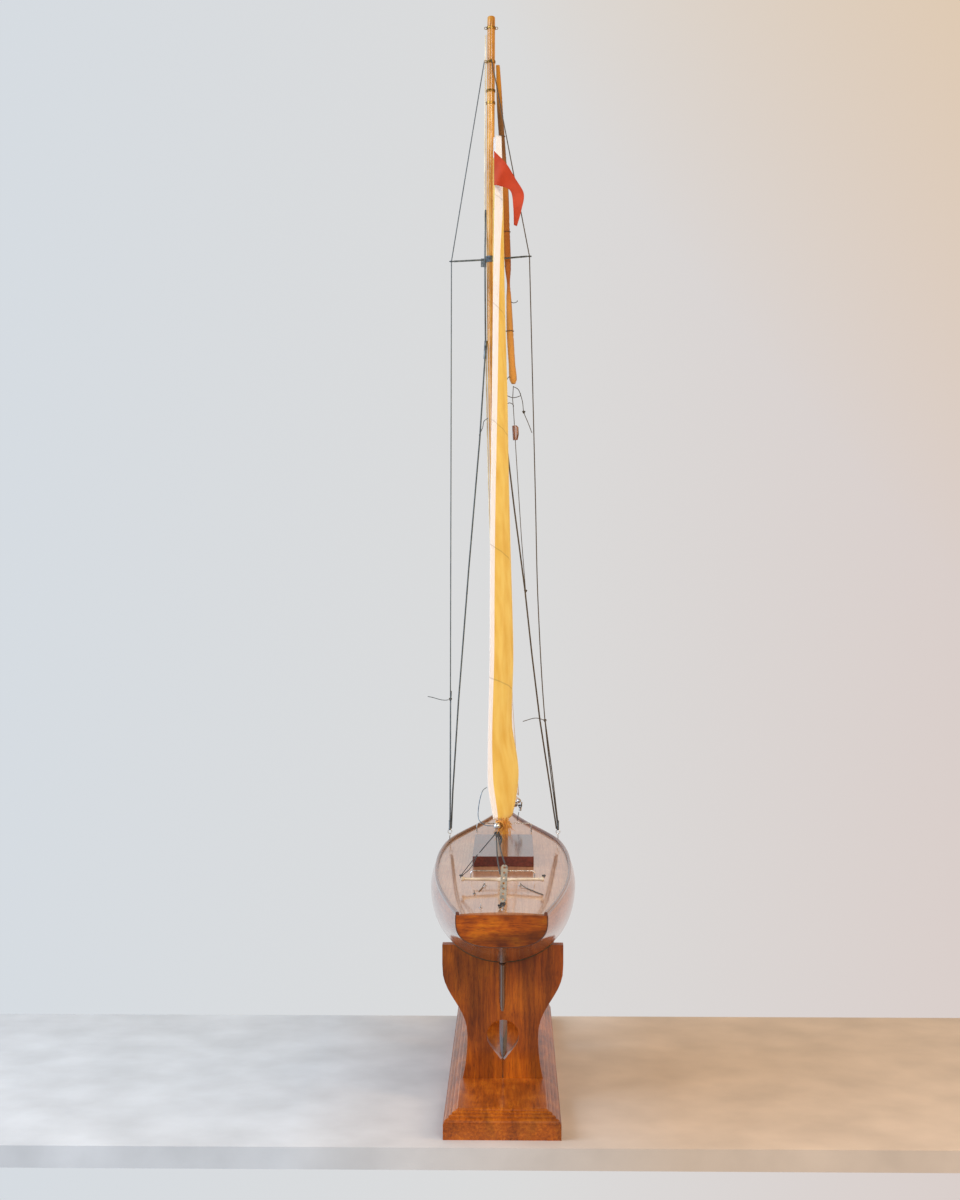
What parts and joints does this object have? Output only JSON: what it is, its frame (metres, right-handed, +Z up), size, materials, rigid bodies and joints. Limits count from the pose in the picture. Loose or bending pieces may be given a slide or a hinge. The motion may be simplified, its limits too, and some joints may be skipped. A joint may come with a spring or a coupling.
{
  "type": "model pond yacht on stand",
  "caption": "Vintage model pond yacht with one mast, mainsail, jib and pennant, resting in the cradle of a moulded wooden display stand.",
  "frame": {"origin": "middle of the underside of the stand's base", "axes": "+Z up, +Y towards the bow, +X to starboard"},
  "size_m": [0.2361, 0.914, 1.7035],
  "materials": {
    "stand_mahogany": "french-polished mahogany",
    "green_felt": "wool felt",
    "steel_screw": "bright steel",
    "hull_varnish": "glossy varnished mahogany",
    "transom_varnish": "varnished mahogany",
    "deck_varnish": "varnished planked deck",
    "rail_varnish": "dark varnished mahogany",
    "hatch_varnish": "dark red varnished mahogany",
    "keel_paint": "painted wood",
    "lead": "aged lead",
    "old_brass": "aged brass",
    "nickel": "bright nickel",
    "dull_metal": "dull grey metal",
    "spar_varnish": "golden varnished pine",
    "yoke_wood": "pale boxwood",
    "rudder_varnish": "dark varnished mahogany",
    "sailcloth": "aged cotton",
    "jib_cloth": "thin cotton",
    "furled_cloth": "tan cotton",
    "gasket_cord": "twine",
    "red_bunting": "red bunting",
    "port_line": "waxed grey cord",
    "starboard_line": "waxed olive cord",
    "halyard_cord": "cream cord",
    "sheet_cord": "dark braided cord",
    "amber_lashing": "frayed amber twine",
    "bowsie_wood": "brown hardwood"
  },
  "bodies": {
    "stand": {"base": "stand_mahogany", "end_board_aft": "stand_mahogany", "end_board_fore": "stand_mahogany", "cradle_felts": "green_felt", "board_screws": "steel_screw"},
    "yacht": {"hull_shell": "hull_varnish", "transom_board": "transom_varnish", "deck": "deck_varnish", "deck_rails": "rail_varnish", "keel_fin": "keel_paint", "ballast_lead": "lead", "keel_bolts": "old_brass", "skeg": "hull_varnish", "rudder_tube": "old_brass", "mast_step": "deck_varnish", "mast_collar": "old_brass", "hatch_coaming": "rail_varnish", "main_horse": "nickel", "jib_horse": "nickel", "chainplates": "nickel", "deck_eyes": "nickel", "stem_fitting": "nickel", "mast": "spar_varnish", "mast_bands": "old_brass", "spreaders": "dull_metal", "upper_shroud_port": "port_line", "upper_shroud_starboard": "starboard_line", "lower_shroud_port": "port_line", "lower_shroud_starboard": "starboard_line", "shroud_fittings": "dull_metal", "forestay": "starboard_line", "jib_stay": "starboard_line", "halyard": "halyard_cord", "furled_sail": "furled_cloth", "gaskets": "gasket_cord", "furled_sail_line": "starboard_line", "rigging_knots": "starboard_line", "gooseneck_band": "old_brass", "main_sheet": "sheet_cord", "steering_line": "sheet_cord", "sheet_adjuster": "nickel", "jib_sheet": "sheet_cord", "shroud_tail_port": "port_line", "shroud_tail_starboard": "starboard_line", "deck_line_port": "starboard_line", "deck_line_starboard": "starboard_line"},
    "rudder": {"rudder_blade": "rudder_varnish", "rudder_stock": "old_brass", "steering_yoke": "yoke_wood"},
    "main_boom": {"main_boom": "spar_varnish", "boom_fittings": "nickel", "boom_lashing": "amber_lashing", "clew_wire": "dull_metal", "mainsail": "sailcloth", "pennant": "red_bunting"},
    "jib_boom": {"jib_boom": "spar_varnish", "jib_boom_fittings": "nickel", "jib": "jib_cloth"},
    "hatch_lid": {"hatch_lid": "hatch_varnish"},
    "bowsie": {"bowsie": "bowsie_wood"}
  },
  "joints": [
    {"name": "lift_out", "type": "slide", "parent": "stand", "child": "yacht", "axis": [0, 0, 1], "range_m": [0, 0.2]},
    {"name": "rudder_turn", "type": "hinge", "parent": "yacht", "child": "rudder", "pos_m": [0, -0.257, 0.22626], "axis": [0, 0, 1], "range_deg": [-30, 30]},
    {"name": "main_boom_swing", "type": "hinge", "parent": "yacht", "child": "main_boom", "pos_m": [-0.00024, 0.153, 0.429], "axis": [-0.0157, 0, 0.9999], "range_deg": [-5, 5]},
    {"name": "jib_boom_swing", "type": "hinge", "parent": "yacht", "child": "jib_boom", "pos_m": [-0.00077, 0.41711, 0.39902], "axis": [-0.0231, -0.2635, 0.9644], "range_deg": [-14, 6]},
    {"name": "hatch_lift", "type": "slide", "parent": "yacht", "child": "hatch_lid", "axis": [0, -0.0306, 0.9995], "range_m": [0, 0.03]},
    {"name": "bowsie_slide", "type": "slide", "parent": "yacht", "child": "bowsie", "axis": [-0.0591, 0, 0.9983], "range_m": [-0.01, 0.01]}
  ]
}
